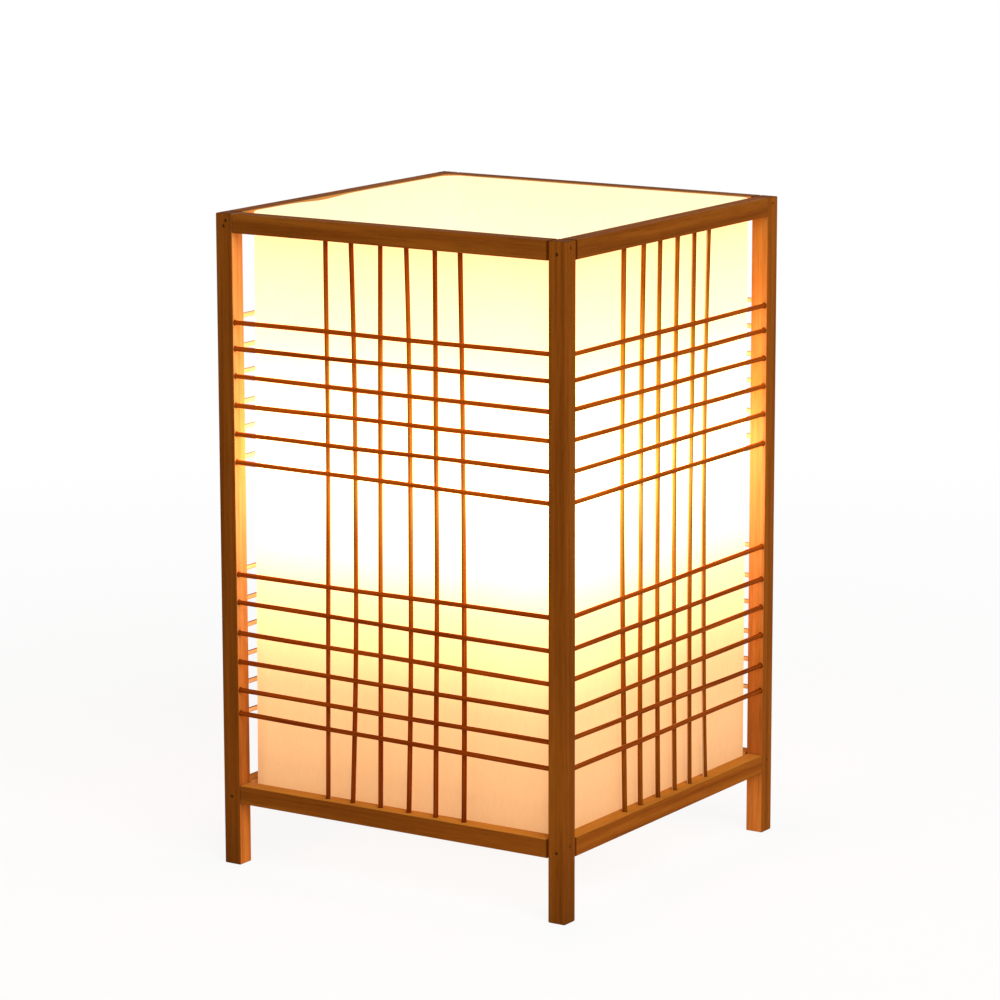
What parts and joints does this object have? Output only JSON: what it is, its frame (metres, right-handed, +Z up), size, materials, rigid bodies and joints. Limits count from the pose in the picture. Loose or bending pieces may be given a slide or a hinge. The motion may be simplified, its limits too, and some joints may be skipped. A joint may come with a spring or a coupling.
{
  "type": "table lamp",
  "caption": "Square free-standing table lamp: a nailed wooden post and rail frame with round-stick lattices round a wrapped translucent sheet, open at the top, with a screw-in bulb.",
  "frame": {"origin": "centre of the square footprint, on the plane of the four post feet", "axes": "+Z up along the posts and the bulb's screw axis, -Y out of the front, the wider side in the picture"},
  "size_m": [0.2, 0.2, 0.3268],
  "materials": {
    "wood_frame": "brown stain on a fine straight grain, satin",
    "lattice_stick": "brown stained round sticks, satin",
    "bar_wood": "plain sawn softwood",
    "shade_sheet": "pale translucent sheet with a faint fibre, matt",
    "nail_steel": "dull dark steel",
    "zinc_steel": "zinc plated",
    "bushing_plastic": "black moulded plastic",
    "holder_plastic": "off-white moulded plastic",
    "insert_ceramic": "unglazed off-white ceramic",
    "contact_brass": "pressed brass sheet",
    "tip_brass": "pressed metal contact",
    "bulb_insulator": "black vitreous insulator",
    "bulb_cap": "rolled bright aluminium",
    "bulb_housing": "white moulded plastic",
    "bulb_dome": "frosted diffuser"
  },
  "bodies": {
    "frame": {"post_front_left": "wood_frame", "post_front_right": "wood_frame", "post_back_right": "wood_frame", "post_back_left": "wood_frame", "top_rail_front": "wood_frame", "top_rail_right": "wood_frame", "top_rail_back": "wood_frame", "top_rail_left": "wood_frame", "bottom_rail_front": "wood_frame", "bottom_rail_right": "wood_frame", "bottom_rail_back": "wood_frame", "bottom_rail_left": "wood_frame", "lattice_front": "lattice_stick", "lattice_right": "lattice_stick", "lattice_back": "lattice_stick", "lattice_left": "lattice_stick", "base_bar": "bar_wood", "shade_sheet": "shade_sheet", "nail_top_front_left_x": "nail_steel", "nail_top_front_left_y": "nail_steel", "nail_top_front_right_x": "nail_steel", "nail_top_front_right_y": "nail_steel", "nail_top_back_right_x": "nail_steel", "nail_top_back_right_y": "nail_steel", "nail_top_back_left_x": "nail_steel", "nail_top_back_left_y": "nail_steel", "nail_bottom_front_left_x": "nail_steel", "nail_bottom_front_left_y": "nail_steel", "nail_bottom_front_right_x": "nail_steel", "nail_bottom_front_right_y": "nail_steel", "nail_bottom_back_right_x": "nail_steel", "nail_bottom_back_right_y": "nail_steel", "nail_bottom_back_left_x": "nail_steel", "nail_bottom_back_left_y": "nail_steel", "bar_nail_left_front": "nail_steel", "bar_nail_left_back": "nail_steel", "bar_nail_right_front": "nail_steel", "bar_nail_right_back": "nail_steel", "stem_tube": "zinc_steel", "stem_washer_lower": "zinc_steel", "stem_washer_upper": "zinc_steel", "stem_nut_lower": "zinc_steel", "stem_nut_upper": "zinc_steel", "holder_lock_nut": "zinc_steel", "cord_bushing": "bushing_plastic", "holder_base": "holder_plastic", "holder_skirt": "holder_plastic", "holder_ring": "holder_plastic", "holder_insert": "insert_ceramic", "screw_shell": "contact_brass", "centre_contact": "contact_brass"},
    "bulb_contact": {"bulb_tip": "tip_brass"},
    "bulb": {"bulb_insulator": "bulb_insulator", "bulb_cap": "bulb_cap", "bulb_housing": "bulb_housing", "bulb_dome": "bulb_dome"}
  },
  "joints": [
    {"name": "bulb_rise", "type": "slide", "parent": "frame", "child": "bulb_contact", "axis": [0, 0, 1], "range_m": [0, 0.018]},
    {"name": "bulb_turn", "type": "hinge", "parent": "bulb_contact", "child": "bulb", "pos_m": [0, 0, 0.1138], "axis": [0, 0, 1], "range_deg": [0, 1800]}
  ],
  "couplings": [
    {"joint": "bulb_turn", "follows": "bulb_rise", "rad_per_m": 1735.7}
  ]
}
